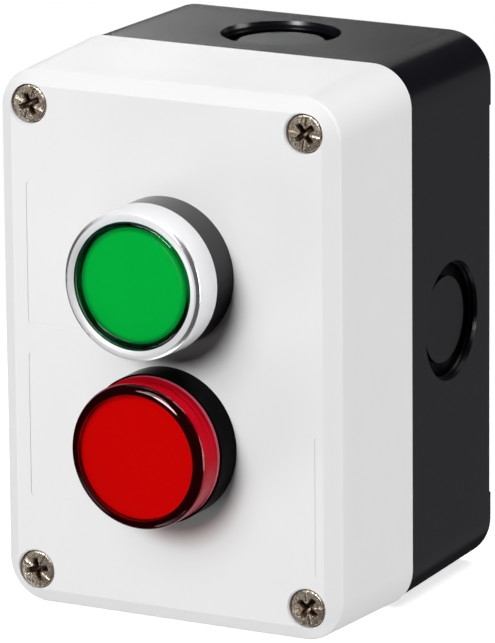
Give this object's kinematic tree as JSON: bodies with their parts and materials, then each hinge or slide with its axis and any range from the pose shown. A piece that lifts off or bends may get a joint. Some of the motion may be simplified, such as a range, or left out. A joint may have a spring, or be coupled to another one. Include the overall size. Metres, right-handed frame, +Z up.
{
  "type": "push button control station",
  "caption": "Wall-mounted control box with a white lid on a black base, carrying an illuminated flush push button with a metal bezel above a domed-edge pilot light.",
  "frame": {"origin": "centre of the wall screw pattern, on the plane of the rear feet", "axes": "+Z up, +Y into the wall, the lid faces -Y, +X to the right of someone facing the lid"},
  "size_m": [0.072, 0.0769, 0.1044],
  "materials": {
    "lid_white": "satin moulded",
    "base_black": "satin moulded",
    "screw_nickel": "nickel plated",
    "seal_rubber": "matte",
    "collar_black": "satin moulded",
    "bezel_metal": "satin side, polished lip",
    "lens_green": "polished, transparent",
    "lens_red": "polished, transparent",
    "diffuser_green": "translucent",
    "diffuser_red": "translucent",
    "nut_black": "moulded",
    "plunger_white": "moulded",
    "spring_steel": "drawn wire",
    "adapter_grey": "moulded",
    "block_green": "moulded",
    "block_cover": "moulded",
    "pusher_nylon": "moulded",
    "contact_brass": "rolled strip",
    "terminal_steel": "zinc plated",
    "holder_grey": "moulded",
    "lamp_brass": "nickel-brass cap",
    "lamp_globe": "clear",
    "board_green": "solder mask",
    "led_red": "clear resin"
  },
  "bodies": {
    "enclosure": {"base_box": "base_black", "lid": "lid_white", "lid_screws": "screw_nickel", "lid_gasket": "seal_rubber", "button_housing": "collar_black", "button_bezel": "bezel_metal", "button_gasket": "seal_rubber", "button_lock_nut": "nut_black", "button_return_spring": "spring_steel", "contact_adapter": "adapter_grey", "adapter_clamp_screw": "terminal_steel", "contact_block_case": "block_green", "contact_block_cover": "block_cover", "pusher_return_spring": "spring_steel", "fixed_contacts": "contact_brass", "contact_terminal_clamps": "terminal_steel", "contact_terminal_screws": "terminal_steel", "lamp_holder": "holder_grey", "lamp_terminals": "contact_brass", "lamp_terminal_screws": "terminal_steel", "button_lamp_cap": "lamp_brass", "button_lamp_globe": "lamp_globe", "pilot_housing": "collar_black", "pilot_gasket": "seal_rubber", "pilot_lock_nut": "nut_black", "pilot_lens": "lens_red", "pilot_diffuser": "diffuser_red", "pilot_led_board": "board_green", "pilot_leds": "led_red", "pilot_rear_cover": "adapter_grey", "pilot_terminals": "contact_brass", "pilot_terminal_screws": "terminal_steel"},
    "button": {"button_lens": "lens_green", "button_diffuser": "diffuser_green", "button_plunger": "plunger_white"},
    "contact_pusher": {"contact_pusher": "pusher_nylon", "contact_spring": "spring_steel"},
    "contact_bridge": {"contact_bridge": "contact_brass"}
  },
  "joints": [
    {"name": "button_press", "type": "slide", "parent": "enclosure", "child": "button", "axis": [0, 1, 0], "range_m": [0, 0.0045], "stiffness_N_per_m": 700, "springref_m": -0.004, "deforming": ["button_return_spring"]},
    {"name": "pusher_slide", "type": "slide", "parent": "enclosure", "child": "contact_pusher", "axis": [0, 1, 0], "range_m": [0, 0.0045], "stiffness_N_per_m": 250, "springref_m": -0.003, "deforming": ["pusher_return_spring"]},
    {"name": "bridge_slide", "type": "slide", "parent": "enclosure", "child": "contact_bridge", "axis": [0, 1, 0], "range_m": [0, 0.0025], "deforming": ["contact_spring"]}
  ],
  "couplings": [
    {"joint": "pusher_slide", "follows": "button_press", "ratio": 1},
    {"joint": "bridge_slide", "follows": "button_press", "ratio": 0.5511}
  ]
}
